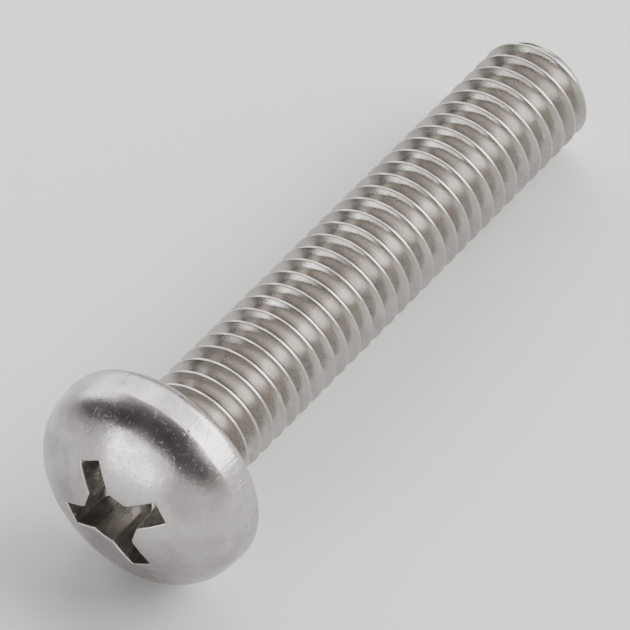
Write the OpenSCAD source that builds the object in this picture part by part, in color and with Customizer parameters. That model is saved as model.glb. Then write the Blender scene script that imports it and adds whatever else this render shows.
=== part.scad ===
// Pan head machine screw with a cross recess, M4 by 22, fully threaded, lying on its head's rim and its end.
// One cold formed piece. The origin is the centre of the bearing face, +X runs along the shank
// towards the end, dipped by the angle at which the screw lies, and +Z is up.
// The shank is drawn at the thread's major diameter.

/* [Shank] */
// Major diameter of the thread
thread_d = 3.96; // [3:0.02:5]
// Length from the bearing face to the flat end
shank_l = 21.7; // [10:0.1:40]
// Radial depth of the chamfer at the end, about the depth of the thread
end_step = 0.36; // [0.2:0.02:0.6]
// Angle of the end chamfer to the axis, in degrees
end_angle = 45; // [30:1:60]
// Radius of the fillet where the shank meets the bearing face
neck_r = 0.15; // [0.05:0.01:0.2]

/* [Head] */
// Diameter of the head
head_d = 7.64; // [6.8:0.02:9.6]
// Height of the head above the bearing face
head_h = 3.1; // [2.8:0.05:3.8]
// Height that the dome falls from its top to where the shoulder starts
dome_fall = 0.945; // [0.75:0.005:1.2]
// Radial width of the shoulder, from the head's full radius in to the dome
shoulder_w = 0.71; // [0.5:0.01:1]
// Radius of the rim between the bearing face and the land
rim_r = 0.45; // [0.2:0.05:0.5]
// Height above the bearing face at which the land starts
land_low = 0.55; // [0.5:0.05:0.7]
// Height above the bearing face at which the land ends
land_high = 1.2; // [1:0.05:1.3]
// Taper of the land on each side, in degrees
land_taper = 6; // [0:0.5:8]

/* [Cross recess] */
// Distance across opposite wings, measured where their ends meet the dome
wing_span = 4; // [3:0.05:4.6]
// Width of a wing, measured at the same height
wing_w = 0.8; // [0.6:0.02:1]
// Distance across the flats between the wings, measured at the same height
core_w = 1.84; // [1.4:0.02:2.2]
// Depth of the recess below the top of the dome
recess_depth = 2.4; // [1.8:0.05:2.5]
// Diameter of the flat at the bottom of the recess
floor_d = 0.6; // [0.3:0.05:0.9]
// Slope of the floor from the flat outwards, in degrees
floor_slope = 28; // [20:1:35]
// Slope of the wing ends to the axis, in degrees
wing_end_slope = 13.25; // [8:0.25:16]
// Draft of the side walls, in degrees
wall_draft = 4; // [1:0.25:6]
// Turn of the recess about the axis, from the wing that would point straight up
recess_turn = 32; // [0:1:89]

/* [Hidden] */
$fn = 96;

// How far cuts run past the surface that they start from
overrun = 0.5;
quarter_turn = 90;

thread_r = thread_d / 2;
head_r = head_d / 2;
end_r = thread_r - end_step;
end_l = end_step / tan(end_angle);

// Radius of the tapered land at height z
function land_r(z) = head_r - (z - land_low) * tan(land_taper);

// The dome's circle has its centre on the axis and passes through its top and the meeting with the shoulder
meeting = [head_r - shoulder_w, head_h - dome_fall];
dome_r = (meeting[0] ^ 2 + dome_fall ^ 2) / (2 * dome_fall);
dome_z = head_h - dome_r;

// The shoulder's circle touches the dome's circle at the meeting and passes through the land's top edge. It
// stands proud by a hair so that the two cross cleanly.
proud = 0.002;
edge = [land_r(land_high), land_high];
drop = meeting - edge;
shoulder_dir = (meeting - [0, dome_z]) / dome_r;
shoulder_r = drop * drop / (2 * shoulder_dir * drop);
shoulder_c = meeting - (shoulder_r - proud) * shoulder_dir;

// The recess is measured at the height where the wing ends meet the dome
gauge_z = dome_z + sqrt(dome_r ^ 2 - (wing_span / 2) ^ 2);
floor_z = head_h - recess_depth;
cut_top = head_h + overrun;

// The floor line touches the rim's arc and the last full thread crest: the dip is the angle that does both
rim_c = head_r - rim_r;
crest_l = shank_l - end_l;
contact_gap = [rim_c - thread_r, crest_l + rim_r];
rest_dip = acos(-rim_r / norm(contact_gap)) - atan2(contact_gap[1], contact_gap[0]);

// Half the width that a drafted pair of walls has at height z, from its full width at the gauge height
function drafted(width, slope, z) = width / 2 + (z - gauge_z) * tan(slope);

// Half outline of the head, with the axis on its left. The rim and a block are at the bottom. Above them the
// outline is whatever lies inside the land's line, the dome's circle and the shoulder's circle at once.
module head_outline() {
    cut_z = head_h + overrun;
    translate([rim_c, rim_r]) circle(rim_r);
    square([rim_c, land_low]);
    intersection() {
        polygon([[0, rim_r], [head_r, rim_r], [head_r, land_low], [land_r(cut_z), cut_z], [0, cut_z]]);
        translate([0, dome_z]) circle(dome_r);
        union() {
            square([head_r, land_high]);
            translate(shoulder_c) circle(shoulder_r);
            translate([0, dome_z]) polygon([[0, 0], 2 * dome_r * shoulder_dir, [0, 2 * dome_r]]);
        }
    }
}

// Shape between two walls that lean outwards, running along Y
module drafted_slot(width, slope, length) {
    low = drafted(width, slope, floor_z);
    high = drafted(width, slope, cut_top);
    translate([0, length / 2, 0])
        rotate([quarter_turn, 0, 0])
            linear_extrude(length)
                polygon([[-low, floor_z], [low, floor_z], [high, cut_top], [-high, cut_top]]);
}

// One pair of opposite wings: drafted side walls, closed by the sloping ends
module wing_pair() {
    intersection() {
        drafted_slot(wing_w, wall_draft, head_d);
        rotate([0, 0, quarter_turn]) drafted_slot(wing_span, wing_end_slope, head_d);
    }
}

// The core between the wings, whose four flats cut off the corners of the cross
module core() {
    rotate([0, 0, quarter_turn / 2])
        intersection() {
            drafted_slot(core_w, wall_draft, head_d);
            rotate([0, 0, quarter_turn]) drafted_slot(core_w, wall_draft, head_d);
        }
}

// Solid that the recess takes out of the head, standing on its conical floor
module recess() {
    floor_rise = cut_top - floor_z;
    intersection() {
        union() {
            wing_pair();
            rotate([0, 0, quarter_turn]) wing_pair();
            core();
        }
        translate([0, 0, floor_z])
            cylinder(h = floor_rise, r1 = floor_d / 2, r2 = floor_d / 2 + floor_rise / tan(floor_slope));
    }
}

// Shank at the thread's major diameter, with its chamfered end and the fillet under the head
module shank() {
    translate([0, 0, -crest_l]) cylinder(h = crest_l + overrun, r = thread_r);
    translate([0, 0, -shank_l]) cylinder(h = end_l, r1 = end_r, r2 = thread_r);
    rotate_extrude()
        translate([thread_r, -neck_r])
            difference() {
                translate([-neck_r, 0]) square([2 * neck_r, neck_r]);
                translate([neck_r, 0]) circle(neck_r);
            }
}

// The whole screw standing head up, then laid down with its head towards -X
module screw() {
    color("silver")
        rotate([0, rest_dip - quarter_turn, 0])
            rotate([0, 0, recess_turn])
                difference() {
                    union() {
                        rotate_extrude() head_outline();
                        shank();
                    }
                    recess();
                }
}

screw();
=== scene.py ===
"""Looks of a pan head machine screw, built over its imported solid.

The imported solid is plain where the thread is. This script replaces it with one closed surface that has the
helical thread, its run-out, the cross recess with softened edges and the steel's finishes. Shapes are worked
out in millimetres in the screw's own upright frame, with the head up and the bearing face at height zero, and
are laid down into the row's frame at the end.
"""

import logging
import math
from dataclasses import dataclass, field
from enum import Enum
from typing import Any, Callable

import bpy
import numpy as np
from mathutils import Euler, Matrix, Vector


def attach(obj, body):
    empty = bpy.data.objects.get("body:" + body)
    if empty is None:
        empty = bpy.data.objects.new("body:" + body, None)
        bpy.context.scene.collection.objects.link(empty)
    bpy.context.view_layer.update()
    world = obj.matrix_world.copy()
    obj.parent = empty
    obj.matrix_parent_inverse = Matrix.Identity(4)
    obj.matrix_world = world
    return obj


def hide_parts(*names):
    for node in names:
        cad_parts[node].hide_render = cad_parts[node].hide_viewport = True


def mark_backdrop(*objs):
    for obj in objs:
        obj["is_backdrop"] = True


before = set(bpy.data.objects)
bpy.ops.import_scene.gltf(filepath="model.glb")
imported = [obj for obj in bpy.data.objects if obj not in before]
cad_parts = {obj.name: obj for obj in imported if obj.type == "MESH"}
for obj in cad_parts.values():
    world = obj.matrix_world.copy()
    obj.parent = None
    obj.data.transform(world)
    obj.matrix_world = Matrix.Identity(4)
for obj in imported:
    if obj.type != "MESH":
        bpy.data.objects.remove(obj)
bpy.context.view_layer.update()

Array = np.ndarray
LOG = logging.getLogger("machine_screw")
MM = 0.001
FULL_TURN = 2 * math.pi
SHARP_EDGE = math.radians(50)


# ---------------------------------------------------------------------------------------------------------
# Shapes: sizes and surfaces
# ---------------------------------------------------------------------------------------------------------


def ease(low: float, high: float, x: Array) -> Array:
    """Smooth step: 0 below low, 1 above high, and 3t^2 - 2t^3 between, where t is the share of the way.

    Args:
        low: Where the step starts.
        high: Where the step ends.
        x: Values to map.

    Returns:
        The step at each value.
    """
    t = np.clip((x - low) / (high - low), 0.0, 1.0)
    return t * t * (3 - 2 * t)


def soft_max(a: Array, b: Array, radius: float) -> Array:
    """The larger of a and b, plus h^2 / 4r where h is how far r exceeds their difference, so edges are round.

    Args:
        a: First values.
        b: Second values.
        radius: Difference below which the two blend.

    Returns:
        The blended maximum.
    """
    h = np.maximum(radius - np.abs(a - b), 0.0)
    return np.maximum(a, b) + h * h / (4 * radius)


def soft_min(a: Array, b: Array, radius: float) -> Array:
    """The smaller of a and b, blended in the same way as in soft_max."""
    return -soft_max(-a, -b, radius)


def both_ends(count: int) -> Array:
    """Shares from 0 to 1 that crowd towards both ends: half of one minus the cosine of an even half turn."""
    return 0.5 - 0.5 * np.cos(np.linspace(0.0, math.pi, count))


@dataclass(frozen=True)
class Head:
    """Outline of the pan head, in millimetres from the bearing face.

    Attributes:
        diameter: Diameter at the rim.
        height: Height of the dome's top.
        dome_fall: How far the dome falls from its top to the shoulder.
        shoulder_width: Radial width of the shoulder.
        rim_radius: Radius between bearing face and land.
        land_low: Height at which the land starts.
        land_high: Height at which the land ends.
        land_taper: Taper of the land on each side, in degrees.
    """

    diameter: float = 7.64
    height: float = 3.1
    dome_fall: float = 0.945
    shoulder_width: float = 0.71
    rim_radius: float = 0.45
    land_low: float = 0.55
    land_high: float = 1.2
    land_taper: float = 6.0

    @property
    def radius(self) -> float:
        """Radius at the rim."""
        return self.diameter / 2

    @property
    def meeting(self) -> Array:
        """Radius and height at which dome and shoulder meet."""
        return np.array([self.radius - self.shoulder_width, self.height - self.dome_fall])

    @property
    def dome_radius(self) -> float:
        """Radius of the sphere through the dome's top and the meeting: (m^2 + f^2) / 2f."""
        return float(self.meeting[0] ** 2 + self.dome_fall**2) / (2 * self.dome_fall)

    @property
    def dome_centre(self) -> float:
        """Height of the dome's centre."""
        return self.height - self.dome_radius

    def land_radius(self, z: Array) -> Array:
        """Radius of the tapered land: it shrinks by the taper's tangent for each unit of height."""
        return self.radius - (z - self.land_low) * math.tan(math.radians(self.land_taper))

    def dome_height(self, rho: Array) -> Array:
        """Height of the dome at a radius: its centre plus the root of R^2 - rho^2."""
        return self.dome_centre + np.sqrt(self.dome_radius**2 - rho**2)

    def outline(self, inner: float, crease: float = 0.012) -> Array:
        """Profile of the head from the bearing face out over rim and land to the meeting with the dome.

        The rim is a quarter circle about (radius - rim radius, rim radius). The land is a straight line. The
        shoulder is the arc that touches the dome at the meeting and passes through the land's top edge.

        Args:
            inner: Radius at which the profile starts on the bearing face.
            crease: Half the width of the pair of rows that keeps a crease crisp.

        Returns:
            Rows of radius and height.
        """
        rim_centre = self.radius - self.rim_radius
        bearing = np.stack([np.linspace(inner, rim_centre, 5)[:-1], np.zeros(4)], 1)
        turn = np.linspace(-math.pi / 2, 0.0, 11)
        rim = np.stack([rim_centre + self.rim_radius * np.cos(turn), self.rim_radius * (1 + np.sin(turn))], 1)
        z = np.array([-2.5, -1, 1, 2.5]) * crease + self.land_low
        low = np.stack([np.minimum(self.radius, self.land_radius(z)), z], 1)
        z = np.linspace(self.land_low, self.land_high, 7)[1:-1]
        land = np.stack([self.land_radius(z), z], 1)
        edge = np.array([float(self.land_radius(np.array(self.land_high))), self.land_high])
        direction = (self.meeting - [0.0, self.dome_centre]) / self.dome_radius
        drop = self.meeting - edge
        radius = float(drop @ drop) / (2 * float(direction @ drop))
        centre = self.meeting - radius * direction
        start = math.atan2(*(edge - centre)[::-1])
        end = math.atan2(*(self.meeting - centre)[::-1])
        step = crease / radius
        turn = np.concatenate([[start + step, start + 3 * step], np.linspace(start, end, 15)[1:]])
        shoulder = centre + radius * np.stack([np.cos(turn), np.sin(turn)], 1)
        z = self.land_high - np.array([3.0, 1.0]) * crease
        high = np.stack([self.land_radius(z), z], 1)
        return np.concatenate([bearing, rim, low, land, high, shoulder])


@dataclass(frozen=True)
class Recess:
    """Cross recess: four drafted wings with sloping ends, a core with four flats and a conical floor.

    Attributes:
        head: Head that it is struck into.
        span: Distance across opposite wings, where their ends meet the dome.
        wing_width: Width of a wing at that height.
        core_width: Distance across opposite flats of the core at that height.
        depth: Depth of the floor below the dome's top.
        floor_diameter: Diameter of the flat at the bottom.
        floor_slope: Slope of the floor's cone, in degrees.
        end_slope: Slope of the wing ends to the axis, in degrees.
        draft: Draft of the side walls, in degrees.
        turn: Turn about the axis, in degrees.
        edge: Blend length at the edges.
    """

    head: Head
    span: float = 4.0
    wing_width: float = 0.8
    core_width: float = 1.84
    depth: float = 2.4
    floor_diameter: float = 0.6
    floor_slope: float = 28.0
    end_slope: float = 13.25
    draft: float = 4.0
    turn: float = 32.0
    edge: float = 0.05

    # Columns on each stretch of a quarter: half a flat, a side, a wing end, a side, half a flat
    COLUMNS = (12, 12, 16, 12, 12)

    @property
    def columns(self) -> int:
        """Number of columns right round the outline."""
        return 4 * sum(self.COLUMNS)

    @property
    def gauge(self) -> float:
        """Height at which the wing ends meet the dome, where the widths are measured."""
        return float(self.head.dome_height(np.array(self.span / 2)))

    @property
    def floor(self) -> float:
        """Height of the flat at the bottom."""
        return self.head.height - self.depth

    def half(self, width: float, slope: float, z: Array) -> Array:
        """Half the distance between two walls at height z: half the width plus the rise times tan slope."""
        return width / 2 + (z - self.gauge) * math.tan(math.radians(slope))

    def floor_height(self, rho: Array) -> Array:
        """Height of the floor: level out to the flat's radius, then rising by tan slope."""
        beyond = np.maximum(rho - self.floor_diameter / 2, 0.0)
        return self.floor + beyond * math.tan(math.radians(self.floor_slope))

    def home_turns(self) -> Array:
        """Even angles of the columns, started so that each lies near its place on the outline."""
        quarter = sum(self.COLUMNS)
        steps = np.arange(self.columns) - quarter / 2
        return steps * FULL_TURN / self.columns + math.radians(self.turn)

    def outline(self, z: Array) -> tuple[Array, Array]:
        """Plan of the walls, one point for each column, at that column's height.

        A quarter runs flat middle, core corner, wing corner, wing corner, core corner, flat middle. With h, w
        and c the half span, half wing width and half core width at the height, those are (c, -c) / root 2,
        (root 2 c - w, -w), (h, -w) and their mirror images. Points lie between them by shares that crowd
        towards the corners.

        Args:
            z: Heights, with the columns last.

        Returns:
            X and Y of each point.
        """
        h = self.half(self.span, self.end_slope, z)
        w = self.half(self.wing_width, self.draft, z)
        c = self.half(self.core_width, self.draft, z)
        root = math.sqrt(2)
        nodes_x = np.stack([c / root, root * c - w, h, h, root * c - w, c / root])
        nodes_y = np.stack([-c / root, -w, -w, w, w, c / root])
        last = len(self.COLUMNS) - 1
        share = [both_ends(n + 1)[:-1] for n in self.COLUMNS]
        share[0] = np.sin(np.linspace(0, math.pi / 2, self.COLUMNS[0] + 1))[:-1]
        share[last] = 1 - np.sin(np.linspace(math.pi / 2, 0, self.COLUMNS[last] + 1))[:-1]
        stretch = np.tile(np.repeat(np.arange(len(self.COLUMNS)), self.COLUMNS), 4)
        along = np.tile(np.concatenate(share), 4)
        column = np.arange(self.columns)
        start_x, end_x = nodes_x[stretch, ..., column], nodes_x[stretch + 1, ..., column]
        start_y, end_y = nodes_y[stretch, ..., column], nodes_y[stretch + 1, ..., column]
        x = np.moveaxis(start_x, 0, -1) + along * np.moveaxis(end_x - start_x, 0, -1)
        y = np.moveaxis(start_y, 0, -1) + along * np.moveaxis(end_y - start_y, 0, -1)
        quarter = column // sum(self.COLUMNS) * (math.pi / 2) + math.radians(self.turn)
        return x * np.cos(quarter) - y * np.sin(quarter), x * np.sin(quarter) + y * np.cos(quarter)

    def settle(self, height_at: Callable[[Array], Array], start: float) -> Array:
        """Height in each column at which the walls meet a surface of revolution, by repeated substitution.

        Args:
            height_at: Height of that surface at a radius.
            start: First guess of the height.

        Returns:
            One height for each column.
        """
        z = np.full(self.columns, start)
        for _ in range(40):
            z = height_at(np.hypot(*self.outline(z)))
        return z

    def metal(self, points: Array) -> Array:
        """Signed distance, roughly, to the head's metal near the recess: negative in the metal.

        The recess is where a point is inside a wing pair or the core, and above the floor. Each pair of
        walls gives (|distance from the middle| - half width) times the cosine of its slope. Metal is where a
        point is inside the dome's sphere and outside the recess. Minima and maxima blend over the edge
        length.

        Args:
            points: Rows of X, Y and Z.

        Returns:
            One value for each point.
        """
        turn = math.radians(self.turn)
        x = points[..., 0] * math.cos(turn) + points[..., 1] * math.sin(turn)
        y = -points[..., 0] * math.sin(turn) + points[..., 1] * math.cos(turn)
        z = points[..., 2]
        rho = np.hypot(x, y)

        def walls(offset: Array, width: float, slope: float) -> Array:
            """Distance outside a pair of walls."""
            return (np.abs(offset) - self.half(width, slope, z)) * math.cos(math.radians(slope))

        def wings(along: Array, across: Array) -> Array:
            """Distance outside a pair of opposite wings."""
            end = walls(along, self.span, self.end_slope)
            return soft_max(end, walls(across, self.wing_width, self.draft), self.edge)

        root = math.sqrt(2)
        core = soft_max(
            walls((x + y) / root, self.core_width, self.draft),
            walls((x - y) / root, self.core_width, self.draft),
            self.edge,
        )
        cross = np.minimum(wings(x, y), wings(y, x))
        cross = soft_min(cross, core, self.edge)
        floor = (self.floor_height(rho) - z) * math.cos(math.radians(self.floor_slope))
        hollow = soft_max(cross, floor, self.edge)
        dome = np.sqrt(rho**2 + (z - self.head.dome_centre) ** 2) - self.head.dome_radius
        return soft_max(dome, -hollow, self.edge)

    def soften(self, points: Array) -> Array:
        """Moves points onto the surface with round edges, by steps of value / slope down the gradient.

        Args:
            points: Rows of points on the sharp surface.

        Returns:
            The moved points.
        """
        reach, least = 1e-4, 0.25
        offsets = np.eye(3) * reach
        for _ in range(4):
            value = self.metal(points)
            change = [self.metal(points + offset) - self.metal(points - offset) for offset in offsets]
            slope = np.stack(change, -1) / (2 * reach)
            length = np.maximum((slope**2).sum(-1, keepdims=True), least)
            points = points - value[..., None] * slope / length
        return points

    def rows(self) -> tuple[Array, Array]:
        """Rows of points from the dome's edge in to the recess, down its walls and in over its floor.

        Dome rows run straight in plan from the meeting circle to the recess's edge and lie on the dome's
        sphere. Wall rows follow the plan outline at heights between floor and dome. Floor rows run in to the
        flat's circle and then towards the centre.

        Returns:
            The points, as rows by columns by three, and the share of the depth at each.
        """
        home = self.home_turns()
        top = self.settle(self.head.dome_height, self.gauge)
        bottom = self.settle(self.floor_height, self.floor)
        edge_x, edge_y = self.outline(top)
        share = np.concatenate([np.linspace(0, 0.88, 14)[1:], [0.92, 0.95, 0.972, 0.988]])[:, None]
        outer = float(self.head.meeting[0])
        x = (1 - share) * outer * np.cos(home) + share * edge_x
        y = (1 - share) * outer * np.sin(home) + share * edge_y
        dome = np.stack([x, y, self.head.dome_height(np.hypot(x, y))], -1)

        share = both_ends(19)[:, None]
        z = top + share * (bottom - top)
        x, y = self.outline(z)
        wall = np.stack([x, y, z], -1)

        base_x, base_y = x[-1], y[-1]
        rho, angle = np.hypot(base_x, base_y), np.arctan2(base_y, base_x)
        flat = self.floor_diameter / 2
        share = np.array([0.03, 0.08, 0.2, 0.4, 0.6, 0.8, 0.93, 1.0])[:, None]
        radius = (1 - share) * rho + share * flat
        inner = np.array([0.85, 0.55, 0.25])[:, None] * flat * np.ones_like(rho)
        radius = np.concatenate([radius, inner])
        floor = np.stack([radius * np.cos(angle), radius * np.sin(angle), self.floor_height(radius)], -1)

        points = self.soften(np.concatenate([dome, wall, floor]))
        points = np.concatenate([points, np.broadcast_to([0.0, 0.0, self.floor], (1, self.columns, 3))])
        shares = np.zeros(len(points))
        shares[len(dome) :] = 1.0
        return points, shares


@dataclass(frozen=True)
class Thread:
    """Right-hand metric thread on the shank, with its run-out and the chamfered end.

    Attributes:
        major: Major diameter.
        pitch: Distance between turns.
        crest: Width of the crest's flat.
        crest_round: Blend length where the crest meets its flanks.
        seam_depth: Depth of the fine seam that rolling leaves along the crest.
        root_radius: Radius at the root.
        length: Length from the bearing face to the end.
        end_step: Radial depth of the end's chamfer.
        neck_radius: Radius of the fillet under the head.
        phase: Height of the crest line at angle zero.
        run_out: Depths below the bearing face over which the groove reaches its full depth.
        fade: Distances from the end over which the groove loses half its depth.
        columns: Number of columns round the shank.
        soft: Blend length where the chamfer cuts the thread.
    """

    major: float = 3.96
    pitch: float = 0.7
    crest: float = 0.09
    crest_round: float = 0.014
    seam_depth: float = 0.006
    root_radius: float = 0.06
    length: float = 21.7
    end_step: float = 0.36
    neck_radius: float = 0.15
    phase: float = -10.675
    run_out: tuple[float, float] = (0.2, 1.1)
    fade: tuple[float, float] = (0.6, 0.1)
    columns: int = 128
    soft: float = 0.05

    # Half of the samples across a pitch, as distances from the crest's middle in millimetres
    SAMPLES = (0.0, 0.016, 0.034, 0.045, 0.056, 0.17, 0.29, 0.31, 0.33)

    @property
    def radius(self) -> float:
        """Major radius."""
        return self.major / 2

    def groove(self, d: Array) -> Array:
        """Depth below the major radius at a distance from the crest's middle.

        It is level over the crest, with a seam shaped as a cosine bell. The flank falls by root three for
        each unit, and the root is a circle that touches both flanks. The larger of flank and crest blends
        softly.

        Args:
            d: Distances from the crest's middle, from 0 to half a pitch.

        Returns:
            The depths.
        """
        flank = (d - self.crest / 2) * math.sqrt(3)
        centre = (self.pitch / 2 - self.crest / 2) * math.sqrt(3) - 2 * self.root_radius
        offset = np.clip(self.pitch / 2 - d, 0.0, self.root_radius)
        root = centre + np.sqrt(self.root_radius**2 - offset**2)
        seam_width = self.crest / 4
        seam = self.seam_depth * (0.5 + 0.5 * np.cos(np.pi * np.clip(d / seam_width, 0, 1)))
        touching = self.pitch / 2 - self.root_radius * math.cos(math.pi / 6)
        depth = np.where(d < touching, soft_max(np.zeros_like(d), flank, self.crest_round), root)
        return depth + seam

    def surface(self, z: Array, turn: Array) -> Array:
        """Radius of the shank at a height and an angle.

        The place across the pitch is (z - phase) / pitch less the turn's share, and its distance from the
        nearest whole number gives the groove's depth. The depth grows from nothing along the run-out and
        halves over the fade, and a cone at 45 degrees cuts the end.

        Args:
            z: Heights, negative below the head.
            turn: Angles about the axis.

        Returns:
            The radii.
        """
        place = (z - self.phase) / self.pitch - turn / FULL_TURN
        d = np.abs(place - np.round(place)) * self.pitch
        start, end = self.length - self.fade[0], self.length - self.fade[1]
        depth = self.groove(d) * ease(*self.run_out, -z) * (1 - ease(start, end, -z) / 2)
        cone = self.radius - self.end_step + (z + self.length)
        return soft_min(self.radius - depth, cone, self.soft)

    def heights(self) -> tuple[Array, Array]:
        """Heights of the rows at angle zero, from a pitch below the end to the fillet, and each one's place.

        Returns:
            The heights, and the place of each across its pitch from root to root, from 0 to 1.
        """
        half = np.array(self.SAMPLES)
        across = np.concatenate([[-self.pitch / 2], -half[:0:-1], half])
        first = math.floor((-self.length - self.phase) / self.pitch) - 1
        turns = math.ceil(self.length / self.pitch) + 3
        z = self.phase + (first + np.arange(turns))[:, None] * self.pitch + across
        place = np.broadcast_to(across / self.pitch + 0.5, z.shape)
        return z.ravel(), place.ravel()

    @property
    def samples(self) -> int:
        """Rows in one pitch."""
        return 2 * len(self.SAMPLES)


class Part(Enum):
    """Parts of the surface that have a finish of their own."""

    THREAD = 0
    HEAD = 1
    RECESS = 2


@dataclass
class Shell:
    """Closed triangle mesh that is gathered from whole arrays.

    Attributes:
        points: Arrays of points, each of shape n by 3.
        triangles: Arrays of corner numbers, each of shape n by 3.
        parts: Part of each triangle, array by array.
        places: Texture place of each triangle's corners, each of shape n by 3 by 2.
        flat_below: Height below which faces are shaded flat, because all edges there are sharp.
    """

    points: list[Array] = field(default_factory=list)
    triangles: list[Array] = field(default_factory=list)
    parts: list[Array] = field(default_factory=list)
    places: list[Array] = field(default_factory=list)
    flat_below: float = -math.inf

    def add_points(self, points: Array) -> Array:
        """Adds points and returns their numbers, in the shape that the points came in."""
        start = sum(len(p) for p in self.points)
        flat = points.reshape(-1, 3)
        self.points.append(flat)
        return np.arange(start, start + len(flat)).reshape(points.shape[:-1])

    def add_triangles(self, corners: Array, part: Part, places: Array) -> None:
        """Adds triangles, leaving out any with a repeated corner.

        Args:
            corners: Point numbers, n by 3.
            part: Part that they belong to.
            places: Texture places of the corners, n by 3 by 2.
        """
        a, b, c = corners.T
        whole = (a != b) & (b != c) & (c != a)
        self.triangles.append(corners[whole])
        self.parts.append(np.full(int(whole.sum()), part.value))
        self.places.append(places[whole])

    def add_grid(self, ids: Array, part: Part, u: Array, v: Array) -> None:
        """Joins a grid of points, whose last column closes on its first, into two triangles a cell.

        Rows run from the end up and in towards the recess, and columns run anticlockwise, so that faces look
        outwards.

        Args:
            ids: Point numbers, rows by columns with the first column repeated last.
            part: Part that the faces belong to.
            u: Texture place along the columns, of the same shape.
            v: Texture place along the rows, as lower and upper value for each cell row: rows - 1 by 2.
        """
        low = np.broadcast_to(v[:, :1], ids[1:, 1:].shape)
        high = np.broadcast_to(v[:, 1:], ids[1:, 1:].shape)
        lower_left = (ids[:-1, :-1], u[:-1, :-1], low)
        lower_right = (ids[:-1, 1:], u[:-1, 1:], low)
        upper_left = (ids[1:, :-1], u[:-1, :-1], high)
        upper_right = (ids[1:, 1:], u[:-1, 1:], high)
        for cell in ((lower_left, lower_right, upper_right), (lower_left, upper_right, upper_left)):
            corners = np.stack([number for number, _, _ in cell], -1)
            places = np.stack([np.stack([across, along], -1) for _, across, along in cell], -2)
            self.add_triangles(corners.reshape(-1, 3), part, places.reshape(-1, 3, 2))

    def build(self, name: str, lay: Array) -> bpy.types.Object:
        """Makes the mesh object.

        Args:
            name: Name of the object.
            lay: Matrix that turns the upright frame into the row's frame.

        Returns:
            The object, linked to the scene.
        """
        upright = np.concatenate(self.points)
        points = upright @ lay.T * MM
        corners = np.concatenate(self.triangles)
        mesh = bpy.data.meshes.new(name)
        mesh.vertices.add(len(points))
        mesh.vertices.foreach_set("co", points.astype(np.float32).ravel())
        mesh.loops.add(corners.size)
        mesh.loops.foreach_set("vertex_index", corners.astype(np.int32).ravel())
        mesh.polygons.add(len(corners))
        mesh.polygons.foreach_set("loop_start", np.arange(0, corners.size, 3, dtype=np.int32))
        mesh.polygons.foreach_set("material_index", np.concatenate(self.parts).astype(np.int32))
        layer = mesh.uv_layers.new(name="surface")
        layer.uv.foreach_set("vector", np.concatenate(self.places).astype(np.float32).ravel())
        mesh.update(calc_edges=True)
        mesh.validate()
        mesh.polygons.foreach_set("use_smooth", upright[corners, 2].mean(axis=1) > self.flat_below)
        mesh.set_sharp_from_angle(angle=SHARP_EDGE)
        piece = bpy.data.objects.new(name, mesh)
        bpy.context.scene.collection.objects.link(piece)
        return piece


# ---------------------------------------------------------------------------------------------------------
# Shader maths
# ---------------------------------------------------------------------------------------------------------


class Graph:
    """Makes the nodes of one material or world."""

    def __init__(self, tree: bpy.types.NodeTree) -> None:
        """Empties the tree and keeps it."""
        tree.nodes.clear()
        self.tree = tree

    def node(self, kind: str, settings: dict[str, Any] | None = None, **inputs: Any) -> bpy.types.Node:
        """Adds a node, gives it its settings and then its inputs.

        Args:
            kind: Node type without its ShaderNode prefix.
            settings: Attributes of the node.
            inputs: Values or signals of its sockets, by name with underscores for spaces, or by number as i0.

        Returns:
            The node.
        """
        made = self.tree.nodes.new(f"ShaderNode{kind}")
        for key, value in (settings or {}).items():
            setattr(made, key, value)
        for key, value in inputs.items():
            numbered = key[0] == "i" and key[1:].isdigit()
            socket = made.inputs[int(key[1:]) if numbered else key.replace("_", " ")]
            if isinstance(value, Signal):
                self.tree.links.new(value.socket, socket)
            else:
                socket.default_value = value
        return made

    def signal(
        self, kind: str, output: int | str = 0, settings: dict[str, Any] | None = None, **inputs: Any
    ) -> "Signal":
        """Adds a node and returns one of its outputs as a signal."""
        return Signal(self, self.node(kind, settings, **inputs).outputs[output])


class Signal:
    """A socket that can be used in Python expressions."""

    def __init__(self, graph: Graph, socket: bpy.types.NodeSocket) -> None:
        """Keeps the socket and the graph that it is in."""
        self.graph = graph
        self.socket = socket

    def maths(self, operation: str, *values: Any) -> "Signal":
        """Adds a Math node with the given operation on these values."""
        inputs = {f"i{number}": value for number, value in enumerate(values)}
        return self.graph.signal("Math", 0, {"operation": operation}, **inputs)

    def __add__(self, other: Any) -> "Signal":
        """Sum."""
        return self.maths("ADD", self, other)

    __radd__ = __add__

    def __mul__(self, other: Any) -> "Signal":
        """Product."""
        return self.maths("MULTIPLY", self, other)

    __rmul__ = __mul__

    def __sub__(self, other: Any) -> "Signal":
        """Difference."""
        return self.maths("SUBTRACT", self, other)

    def __rsub__(self, other: Any) -> "Signal":
        """Difference with the signal last."""
        return self.maths("SUBTRACT", other, self)

    def step(self, low: float, high: float) -> "Signal":
        """Smooth step from 0 at low to 1 at high."""
        smooth = {"interpolation_type": "SMOOTHSTEP"}
        return self.graph.signal("MapRange", 0, smooth, Value=self, i1=low, i2=high)

    def mix(self, low: Any, high: Any) -> "Signal":
        """Colour between low and high by this signal."""
        return self.graph.signal("Mix", 2, {"data_type": "RGBA"}, i0=self, i6=low, i7=high)


# ---------------------------------------------------------------------------------------------------------
# Finishes
# ---------------------------------------------------------------------------------------------------------

Colour = tuple[float, float, float, float]


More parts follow.
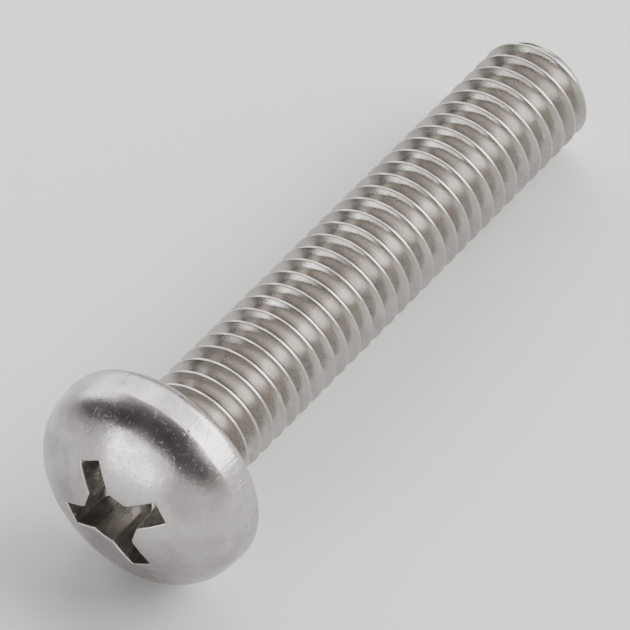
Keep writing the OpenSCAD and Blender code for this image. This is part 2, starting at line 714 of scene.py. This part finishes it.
@dataclass(frozen=True)
class Steel:
    """Stainless steel with a fine worked surface.

    Attributes:
        name: Name of the material.
        light: Colour of the clean metal.
        dull: Colour of its duller patches.
        roughness: Roughness of the clean metal.
        patchiness: How much roughness grows in duller patches.
        grain: Depth of the fine grain, in metres.
    """

    name: str
    light: Colour
    dull: Colour
    roughness: float
    patchiness: float
    grain: float

    # Noise cells in a metre, for the soft patches and the fine grain
    PATCH_SCALE = 900.0
    GRAIN_SCALE = 14000.0

    def place(self, g: Graph) -> Signal:
        """Coordinates in metres that patterns in the metal are made on."""
        return g.signal("TexCoord", "Object")

    def unrolled(self, g: Graph, across: float, along: float) -> tuple[Signal, Signal]:
        """The second of the surface's own coordinates, and a vector of both scaled for a noise.

        Args:
            g: Graph to add to.
            across: Scale of the first coordinate.
            along: Scale of the second coordinate.

        Returns:
            The second coordinate and the scaled vector.
        """
        split = g.node("SeparateXYZ", None, Vector=g.signal("UVMap", 0, {"uv_map": "surface"}))
        u, v = Signal(g, split.outputs[0]), Signal(g, split.outputs[1])
        return v, g.signal("CombineXYZ", 0, None, X=u * across, Y=v * along, Z=0.0)

    def noise(self, g: Graph, vector: Signal, scale: float, detail: float = 2.0) -> Signal:
        """Plain noise from 0 to 1 at a scale."""
        return g.signal("TexNoise", 0, None, Vector=vector, Scale=scale, Detail=detail, Roughness=0.6)

    def patches(self, g: Graph) -> Signal:
        """Soft patches about a millimetre across: noise between two limits."""
        return self.noise(g, self.place(g), self.PATCH_SCALE, 4.0).step(0.38, 0.68)

    def tone(self, g: Graph) -> tuple[Signal, Signal]:
        """Colour and roughness: both follow the patches, with a fine mottle."""
        patch, fine = self.patches(g), self.noise(g, self.place(g), self.GRAIN_SCALE, 3.0)
        colour = (patch * 0.7 + fine * 0.3).mix(self.light, self.dull)
        return colour, patch * self.patchiness + (self.roughness - 0.03) + fine * 0.06

    def relief(self, g: Graph) -> list[tuple[Signal, float]]:
        """Heights from 0 to 1 and the depth of each in metres: here the grain alone."""
        return [(self.noise(g, self.place(g), self.GRAIN_SCALE, 3.0), self.grain)]

    def make(self) -> bpy.types.Material:
        """Builds the material, with one bump node behind the other for each height of the relief.

        Returns:
            The finished material.
        """
        material = bpy.data.materials.new(self.name)
        material.use_nodes = True
        g = Graph(material.node_tree)
        colour, roughness = self.tone(g)
        shader = g.node("BsdfPrincipled", None, Base_Color=colour, Metallic=1.0, Roughness=roughness)
        behind: dict[str, Signal] = {}
        for height, depth in self.relief(g):
            bump = g.signal("Bump", 0, None, Height=height, Distance=depth, Strength=1.0, **behind)
            behind = {"Normal": bump}
        g.tree.links.new(behind["Normal"].socket, shader.inputs["Normal"])
        g.tree.links.new(shader.outputs[0], g.node("OutputMaterial").inputs[0])
        return material


@dataclass(frozen=True)
class RolledSteel(Steel):
    """Finish of the rolled thread: streaks along the helix, a painted highlight along the crests and painted
    shade in the roots.

    Attributes:
        streak: Depth of the streaks, in metres.
        dent: Depth of the dents in the crest, in metres.
        crest_painted_highlight: Colour of the painted highlight along the crest, which is also burnished
            smoother.
        root_painted_shade: Colour of the painted shade in the root.
    """

    streak: float = 0.4e-6
    dent: float = 3e-6
    crest_painted_highlight: Colour = (0.92, 0.9, 0.88, 1)
    root_painted_shade: Colour = (0.3, 0.28, 0.26, 1)

    # Noise cells in a turn and in a pitch, for the streaks' tone, their relief and the dents
    TONE_SCALE = (9.0, 22.0)
    STREAK_SCALE = (9.0, 30.0)
    DENT_SCALE = (45.0, 5.0)

    def crest(self, v: Signal) -> Signal:
        """1 on the crest and 0 off it, where v is 0.5 at the crest's middle."""
        return 1 - (v - 0.5).maths("ABSOLUTE").step(0.065, 0.12)

    def tone(self, g: Graph) -> tuple[Signal, Signal]:
        """Adds a painted highlight on the crest, painted shade in the root and the streaks to the plain tone;
        the crest is also smoother.
        """
        colour, roughness = super().tone(g)
        v, across = self.unrolled(g, *self.TONE_SCALE)
        streaks = self.noise(g, across, 1.0, 4.0).step(0.3, 0.7)
        root = (v - 0.5).maths("ABSOLUTE").step(0.3, 0.5)
        colour = (streaks * 0.35).mix(colour, self.dull)
        # Painted shade: the root of the groove is darkened in colour.
        colour = (root * 0.2).mix(colour, self.root_painted_shade)
        # Painted highlight: the crest's colour is lightened towards white; its lower roughness is real
        # burnishing.
        crest = self.crest(v)
        return crest.mix(colour, self.crest_painted_highlight), roughness + streaks * 0.05 - crest * 0.1

    def relief(self, g: Graph) -> list[tuple[Signal, float]]:
        """Adds the streaks, and dents along the crest."""
        v, across = self.unrolled(g, *self.STREAK_SCALE)
        _, bumps = self.unrolled(g, *self.DENT_SCALE)
        dents = self.noise(g, bumps, 1.0, 3.0).step(0.45, 0.75) * self.crest(v)
        return [(self.noise(g, across, 1.0, 4.0), self.streak), (dents, self.dent), *super().relief(g)]


@dataclass(frozen=True)
class StruckSteel(Steel):
    """Finish of the struck head: gentle waves, short scratches every way and ticks across the land.

    Attributes:
        wave: Depth of the waves, in metres.
        scratch: Depth of the scratches, in metres.
        tick: Depth of the ticks, in metres.
        land: Start and end of the land along the outline, in millimetres.
    """

    wave: float = 12e-6
    scratch: float = 7e-6
    tick: float = 14e-6
    land: tuple[float, float] = (1.9, 2.5)

    # Noise cells in a metre along and across a scratch, in the waves and in the groups of ticks
    SCRATCH_SCALE = (1800.0, 13000.0, 13000.0)
    WAVE_SCALE = 1500.0
    GROUP_SCALE = 700.0

    # Noise cells in a turn and in a millimetre, for the ticks
    TICK_SCALE = (170.0, 1.3)

    # Turns of the scratches' directions about X, Y and Z, in radians
    DIRECTIONS = ((0.4, 0.9, 0.2), (2.1, 0.3, 1.2), (1.1, 2.2, 2.6), (2.8, 1.5, 0.7))

    def scratches(self, g: Graph) -> Signal:
        """Short thin lines in four directions: peaks of noise that is stretched seven to one."""
        lines: Signal | None = None
        for turn in self.DIRECTIONS:
            place = self.place(g)
            stretched = g.signal("Mapping", 0, None, Vector=place, Rotation=turn, Scale=self.SCRATCH_SCALE)
            line = self.noise(g, stretched, 1.0, 2.0).step(0.54, 0.7)
            lines = line if lines is None else lines.maths("MAXIMUM", line)
        return lines

    def ticks(self, g: Graph) -> Signal:
        """Short marks across the land, in groups: stretched noise, kept to the land."""
        v, across = self.unrolled(g, *self.TICK_SCALE)
        low, high = self.land
        groups = self.noise(g, self.place(g), self.GROUP_SCALE, 1.0).step(0.45, 0.6)
        marks = self.noise(g, across, 1.0, 2.0).step(0.5, 0.72)
        return marks * v.step(low - 0.1, low) * (1 - v.step(high, high + 0.12)) * groups

    def tone(self, g: Graph) -> tuple[Signal, Signal]:
        """Scratches and ticks are rougher and a little duller."""
        colour, roughness = super().tone(g)
        marks = self.scratches(g).maths("MAXIMUM", self.ticks(g))
        return (marks * 0.5).mix(colour, self.dull), roughness + marks * 0.1

    def relief(self, g: Graph) -> list[tuple[Signal, float]]:
        """Adds the waves, the scratches and the ticks."""
        waves = self.noise(g, self.place(g), self.WAVE_SCALE, 2.0)
        marks = [(self.scratches(g), self.scratch), (self.ticks(g), self.tick)]
        return [(waves, self.wave), *marks, *super().relief(g)]


@dataclass(frozen=True)
class PunchedSteel(Steel):
    """Finish of the recess: streaks down the walls, torn glittering patches and a worn, smoother edge with a
    painted highlight.

    Attributes:
        streak: Depth of the streaks, in metres.
        tear: Depth of the torn patches, in metres.
        torn_metal_and_painted_highlight: Colour of the brighter torn metal and of the painted highlight on
            the worn edge.
        edge_end: Where the worn edge and its painted highlight end along the outline, in millimetres.
    """

    streak: float = 4e-6
    tear: float = 16e-6
    torn_metal_and_painted_highlight: Colour = (0.8, 0.78, 0.76, 1)
    edge_end: float = 0.0

    # Noise cells in a turn and in a millimetre, for the streaks
    STREAK_SCALE = (500.0, 2.5)

    # Noise cells in a metre, for the torn patches and the glitter in them
    TORN_SCALE = 1400.0
    GLITTER_SCALE = 16000.0

    def edge(self, v: Signal) -> Signal:
        """1 on the worn edge that carries the painted highlight, fading to 0 over a twentieth of a
        millimetre.
        """
        return 1 - v.step(self.edge_end - 0.05, self.edge_end)

    def torn(self, g: Graph) -> Signal:
        """Patches of coarse glitter: fine noise inside patches of coarse noise."""
        patch = self.noise(g, self.place(g), self.TORN_SCALE, 2.0).step(0.5, 0.62)
        return self.noise(g, self.place(g), self.GLITTER_SCALE, 3.0).step(0.42, 0.66) * patch

    def tone(self, g: Graph) -> tuple[Signal, Signal]:
        """Adds streaks, brighter torn metal and the painted highlight on the worn, smoother edge."""
        colour, roughness = super().tone(g)
        v, across = self.unrolled(g, *self.STREAK_SCALE)
        streaks = self.noise(g, across, 1.0, 3.0).step(0.35, 0.7)
        colour = (streaks * 0.5).mix(colour, self.dull)
        colour = (self.torn(g) * 0.7).mix(colour, self.torn_metal_and_painted_highlight)
        # Painted highlight: a bright band of colour along the recess's top edge; its lower roughness is real
        # wear.
        edge = self.edge(v)
        return edge.mix(colour, self.torn_metal_and_painted_highlight), roughness + streaks * 0.06 - edge * 0.12

    def relief(self, g: Graph) -> list[tuple[Signal, float]]:
        """Adds the streaks and the torn patches."""
        _, across = self.unrolled(g, *self.STREAK_SCALE)
        return [(self.noise(g, across, 1.0, 3.0), self.streak), (self.torn(g), self.tear), *super().relief(g)]


# ---------------------------------------------------------------------------------------------------------
# The screw
# ---------------------------------------------------------------------------------------------------------


@dataclass
class Screw:
    """The whole screw: one closed surface from the end's middle to the recess's middle.

    Attributes:
        head: Outline of the head.
        thread: Thread and shank.
        recess: Cross recess.
        worn: Width of the worn edge with its painted highlight inside the recess.
        edge_end: Where that edge ends along the outline, set when the head is made.
    """

    head: Head = field(default_factory=Head)
    thread: Thread = field(default_factory=Thread)
    recess: Recess = field(default_factory=lambda: Recess(Head()))
    worn: float = 0.07
    edge_end: float = 0.0

    def dip(self) -> float:
        """Angle at which the screw lies: the floor touches the rim's arc and the last full crest.

        With g the gap from crest to rim centre, it is acos(-rim radius / |g|) less the gap's own angle.
        """
        across = self.head.radius - self.head.rim_radius - self.thread.radius
        along = self.thread.length - self.thread.end_step + self.head.rim_radius
        return math.acos(-self.head.rim_radius / math.hypot(across, along)) - math.atan2(along, across)

    def lay(self) -> Array:
        """Matrix from the upright frame to the row's: the head's top turns towards -X, with the dip."""
        s, c = math.sin(self.dip()), math.cos(self.dip())
        return np.array([[s, 0.0, -c], [0.0, 1.0, 0.0], [c, 0.0, s]])

    def floor_height(self) -> float:
        """Height of the floor under the rim's arc: its centre's height less the rim's radius."""
        rim = self.head.rim_radius
        s, c = math.sin(self.dip()), math.cos(self.dip())
        return -c * (self.head.radius - rim) + s * rim - rim

    def add_shank(self, shell: Shell) -> Array:
        """Adds the end face and the threaded shank.

        Rows follow the helix: each rises by one pitch in a turn, so that after a turn it joins the row one
        pitch up. Rows are cut off at the end and at the fillet, and those beyond share one ring there.

        Args:
            shell: Mesh to add to.

        Returns:
            Point numbers of the ring at the fillet's foot.
        """
        t = self.thread
        turn = np.arange(t.columns) * FULL_TURN / t.columns
        low, high = -t.length, -t.neck_radius
        base, place = t.heights()
        z = base[:, None] + turn * t.pitch / FULL_TURN
        snap = 0.012
        inside = (z > low + snap) & (z < high - snap)

        def ring(height: float) -> Array:
            """Points of a level ring on the surface."""
            radius = t.surface(np.full(t.columns, height), turn)
            return np.stack([radius * np.cos(turn), radius * np.sin(turn), np.full(t.columns, height)], -1)

        end_ring, neck_ring = ring(low), ring(high)
        shares = np.array([0.0, 0.3, 0.6, 0.85, 0.97])[:, None, None]
        disc = shell.add_points(np.concatenate([end_ring * shares * [1, 1, 0] + [0, 0, low]])[1:])
        middle = shell.add_points(np.array([[0.0, 0.0, low]]))
        end_ids, neck_ids = shell.add_points(end_ring), shell.add_points(neck_ring)
        radius = t.surface(z, np.broadcast_to(turn, z.shape))
        grid = np.stack([radius * np.cos(turn), radius * np.sin(turn), z], -1)
        made = shell.add_points(grid[inside])
        ids = np.where(z <= low + snap, end_ids, neck_ids)
        ids[inside] = made
        after = np.concatenate([ids[t.samples :, 0], np.full(t.samples, neck_ids[0])])
        ids = np.concatenate([ids, after[:, None]], 1)
        share = np.linspace(0, 1, t.columns + 1)
        turns = (np.arange(len(base)) // t.samples)[:, None]
        v = np.stack([place[:-1], np.where(place[1:] < place[:-1], 1.0, place[1:])], 1)
        cap = np.concatenate([np.broadcast_to(middle, (1, t.columns)), disc, end_ids[None]])
        cap = np.concatenate([cap, cap[:, :1]], 1)
        rings = len(cap) - 1
        steps = np.stack([np.arange(rings), np.arange(1, rings + 1)], 1) / rings
        shell.add_grid(cap, Part.HEAD, np.broadcast_to(share, cap.shape), steps)
        shell.add_grid(ids, Part.THREAD, turns + share, v)
        return neck_ids

    def add_head(self, shell: Shell, neck: Array) -> None:
        """Adds the fillet, the head and the recess, joined to the shank two columns to one.

        Args:
            shell: Mesh to add to.
            neck: Ring at the fillet's foot.
        """
        t, r = self.thread, self.recess
        beside = 0.08
        turn = np.arange(t.columns) * FULL_TURN / t.columns
        arc = np.linspace(math.pi, math.pi / 2, 6)[1:, None]
        rho = t.radius + t.neck_radius * (1 + np.cos(arc)) + 0 * turn
        z = t.neck_radius * (np.sin(arc) - 1) + 0 * turn
        fillet = shell.add_points(np.stack([rho * np.cos(turn), rho * np.sin(turn), z], -1))
        fillet = np.concatenate([neck[None], fillet])
        closed = np.concatenate([fillet, fillet[:, :1]], 1)
        share = np.broadcast_to(np.linspace(0, 1, t.columns + 1), closed.shape)
        steps = np.arange(len(closed) - 1) / len(closed)
        shell.add_grid(closed, Part.HEAD, share, np.stack([steps, steps + 1 / len(closed)], 1))

        home = r.home_turns()
        profile = self.head.outline(t.radius + t.neck_radius + beside)
        outer = np.stack(
            [
                profile[:, :1] * np.cos(home),
                profile[:, :1] * np.sin(home),
                np.broadcast_to(profile[:, 1:], (len(profile), r.columns)),
            ],
            -1,
        )
        inner, struck = r.rows()
        points = np.concatenate([outer, inner])
        ids = shell.add_points(points[:-1])
        middle = shell.add_points(points[-1, :1])
        ids = np.concatenate([ids, np.broadcast_to(middle, (1, r.columns))])
        self.stitch(shell, fillet[-1], turn, ids[0], home)
        closed = np.concatenate([ids, ids[:, :1]], 1)
        share = np.broadcast_to(np.linspace(0, 1, r.columns + 1), closed.shape)
        length = np.linalg.norm(np.diff(points[:, 0], axis=0), axis=-1)
        along = np.concatenate([[0.0], np.cumsum(length)])
        v = np.stack([along[:-1], along[1:]], 1)
        first = len(outer) + int(np.argmax(struck > 0))
        self.edge_end = float(along[first]) + self.worn
        shell.add_grid(closed[: first + 1], Part.HEAD, share[: first + 1], v[:first])
        shell.add_grid(closed[first:], Part.RECESS, share[first:], v[first:])

    @staticmethod
    def stitch(shell: Shell, ring: Array, ring_turn: Array, wide: Array, wide_turn: Array) -> None:
        """Joins a ring to one with twice the points: each inner point takes its two nearest outer ones.

        Args:
            shell: Mesh to add to.
            ring: Point numbers of the inner ring.
            ring_turn: Their angles.
            wide: Point numbers of the outer ring.
            wide_turn: Their angles.
        """
        step = FULL_TURN / len(wide)
        first = int(round((ring_turn[0] - wide_turn[0]) / step))
        order = np.roll(wide, -first)
        a, a_next = ring, np.roll(ring, -1)
        b, mid, b_next = order[0::2], order[1::2], np.roll(order[0::2], -1)
        fan = ((a, mid, b), (a, a_next, mid), (a_next, b_next, mid))
        corners = np.concatenate([np.stack(triangle, -1) for triangle in fan])
        shell.add_triangles(corners, Part.HEAD, np.zeros((len(corners), 3, 2)))

    def build(self) -> bpy.types.Object:
        """Builds the surface and dresses it.

        Returns:
            The finished piece.
        """
        shell = Shell(flat_below=self.thread.end_step - self.thread.length)
        self.add_head(shell, self.add_shank(shell))
        piece = shell.build("screw_body", self.lay())
        self.dress(piece)
        return piece

    def dress(self, piece: bpy.types.Object) -> None:
        """Gives each part of the surface its finish."""
        rolled = RolledSteel(
            name="rolled_steel",
            light=(0.5, 0.47, 0.44, 1),
            dull=(0.36, 0.335, 0.31, 1),
            roughness=0.2,
            patchiness=0.08,
            grain=1e-6,
        )
        struck = StruckSteel(
            name="struck_steel",
            light=(0.52, 0.5, 0.485, 1),
            dull=(0.32, 0.3, 0.29, 1),
            roughness=0.21,
            patchiness=0.1,
            grain=3.5e-6,
        )
        punched = PunchedSteel(
            name="punched_steel",
            light=(0.66, 0.63, 0.6, 1),
            dull=(0.24, 0.22, 0.2, 1),
            roughness=0.31,
            patchiness=0.1,
            grain=5e-6,
            edge_end=self.edge_end,
        )
        finishes = {Part.THREAD: rolled, Part.HEAD: struck, Part.RECESS: punched}
        for part in Part:
            piece.data.materials.append(finishes[part].make())


# ---------------------------------------------------------------------------------------------------------
# Studio
# ---------------------------------------------------------------------------------------------------------


@dataclass(frozen=True)
class SoftBox:
    """A soft area light that faces the screw.

    Attributes:
        name: Name of the light.
        azimuth: Direction from the screw, in degrees, as the camera's.
        elevation: Height above the level, in degrees.
        distance: Distance from the screw's middle, in metres.
        size: Width and height, in metres.
        level: Brightness of its face, in watts for each square metre and steradian.
    """

    name: str
    azimuth: float
    elevation: float
    distance: float
    size: tuple[float, float]
    level: float


@dataclass
class Studio:
    """Pale floor, soft lights and the camera.

    Attributes:
        floor_height: Height of the floor, in millimetres.
        floor_half: Half the floor's width, in metres.
        centre: Middle of the screw, in metres.
        azimuth: The camera's azimuth in degrees: 0 looks along +Y.
        elevation: The camera's elevation in degrees.
        roll: The camera's turn about its own line of sight, in degrees.
        distance: Distance from the camera to its aim, in metres.
        focal_length: Focal length on a 36 mm sensor, in millimetres.
        aim: Point that the camera looks at, in metres.
        wall: Azimuth and elevation of the middle of the low pale wall.
        wall_spread: Cosines from its middle at which the wall starts and is full.
        wall_top: Sines of the elevations at which the wall starts to fade and ends.
        wall_level: Brightness of the wall.
        dark_level: Brightness of the rest of the surround.
        boxes: The soft boxes.
    """

    floor_height: float
    floor_half: float = 1.2
    centre: tuple[float, float, float] = (0.0095, 0.0, 0.0)
    azimuth: float = -54.95
    elevation: float = 49.482
    roll: float = -0.445
    distance: float = 0.26197
    focal_length: float = 461.3
    aim: tuple[float, float, float] = (0.009023, 0.0004977, -0.0018461)
    wall: tuple[float, float] = (25.0, 0.0)
    wall_spread: tuple[float, float] = (-0.35, 0.2)
    wall_top: tuple[float, float] = (0.16, 0.3)
    wall_level: float = 1.3
    dark_level: float = 0.08
    boxes: tuple[SoftBox, ...] = (
        SoftBox("left_box", -104.0, 9.5, 0.5, (0.32, 0.15), 9.5),
        SoftBox("back_right_box", 44.0, 33.0, 0.5, (0.44, 0.3), 8.0),
        SoftBox("top_box", 92.0, 57.0, 0.5, (0.72, 0.2), 4.0),
        SoftBox("fill_box", 122.0, 39.0, 0.5, (0.24, 0.16), 3.2),
        SoftBox("back_left_box", 157.0, 22.0, 0.5, (0.37, 0.36), 3.9),
    )

    @staticmethod
    def direction(azimuth: float, elevation: float) -> Vector:
        """Unit vector towards an azimuth and elevation: (sin a cos e, -cos a cos e, sin e)."""
        a, e = math.radians(azimuth), math.radians(elevation)
        return Vector((math.sin(a) * math.cos(e), -math.cos(a) * math.cos(e), math.sin(e)))

    def floor(self) -> bpy.types.Object:
        """Makes the pale floor."""
        half, z = self.floor_half, self.floor_height * MM
        corners = [(-half, -half, z), (half, -half, z), (half, half, z), (-half, half, z)]
        mesh = bpy.data.meshes.new("floor")
        mesh.from_pydata(corners, [], [(0, 1, 2, 3)])
        material = bpy.data.materials.new("pale_floor")
        material.use_nodes = True
        g = Graph(material.node_tree)
        shader = g.node("BsdfPrincipled", None, Base_Color=(0.9, 0.9, 0.9, 1), Roughness=0.8)
        g.tree.links.new(shader.outputs[0], g.node("OutputMaterial").inputs[0])
        mesh.materials.append(material)
        plane = bpy.data.objects.new("floor", mesh)
        bpy.context.scene.collection.objects.link(plane)
        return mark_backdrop(plane)

    def light(self, box: SoftBox) -> None:
        """Makes one soft box, turned towards the screw."""
        data = bpy.data.lights.new(box.name, "AREA")
        data.shape = "RECTANGLE"
        data.size, data.size_y = box.size
        data.energy = box.level * math.pi * box.size[0] * box.size[1]
        lamp = bpy.data.objects.new(box.name, data)
        away = self.direction(box.azimuth, box.elevation)
        lamp.location = Vector(self.centre) + away * box.distance
        lamp.rotation_euler = away.to_track_quat("Z", "Y").to_euler()
        bpy.context.scene.collection.objects.link(lamp)

    def surround(self) -> None:
        """Makes the surround: a low pale wall on one side of the table, in an otherwise dim room."""
        world = bpy.data.worlds.new("studio")
        world.use_nodes = True
        g = Graph(world.node_tree)
        looking = g.signal("TexCoord", "Generated")
        middle = self.direction(*self.wall)
        facing = g.signal("VectorMath", "Value", {"operation": "DOT_PRODUCT"}, i0=looking, i1=middle)
        side = facing.step(*self.wall_spread)
        height = g.signal("SeparateXYZ", 2, None, Vector=looking)
        wall = side * (1 - height.step(*self.wall_top))
        level = wall * (self.wall_level - self.dark_level) + self.dark_level
        background = g.node("Background", None, Color=(1.0, 0.985, 0.97, 1), Strength=level)
        g.tree.links.new(background.outputs[0], g.node("OutputWorld").inputs[0])
        bpy.context.scene.world = world

    def camera(self) -> None:
        """Makes the camera at its viewing angle and distance."""
        data = bpy.data.cameras.new("camera")
        data.lens = self.focal_length
        data.sensor_width = 36.0
        data.clip_start = 0.01
        camera = bpy.data.objects.new("camera", data)
        camera.location = Vector(self.aim) + self.direction(self.azimuth, self.elevation) * self.distance
        aimed = Euler((math.radians(90 - self.elevation), 0.0, math.radians(self.azimuth))).to_matrix()
        camera.rotation_euler = (aimed @ Matrix.Rotation(math.radians(self.roll), 3, "Z")).to_euler()
        bpy.context.scene.collection.objects.link(camera)
        bpy.context.scene.camera = camera

    def build(self) -> None:
        """Makes the whole studio."""
        self.floor()
        for box in self.boxes:
            self.light(box)
        self.surround()
        self.camera()


def main() -> None:
    """Builds the screw and the studio, and reports each piece."""
    logging.basicConfig(level=logging.INFO, format="%(name)s: %(message)s")
    screw = Screw()
    piece = screw.build()
    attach(piece, "root")
    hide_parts("screw")
    LOG.info("%s: %d triangles", piece.name, len(piece.data.polygons))
    Studio(screw.floor_height()).build()
    LOG.info("studio: floor at %.3f mm", screw.floor_height())


if __name__ == "__main__":
    main()
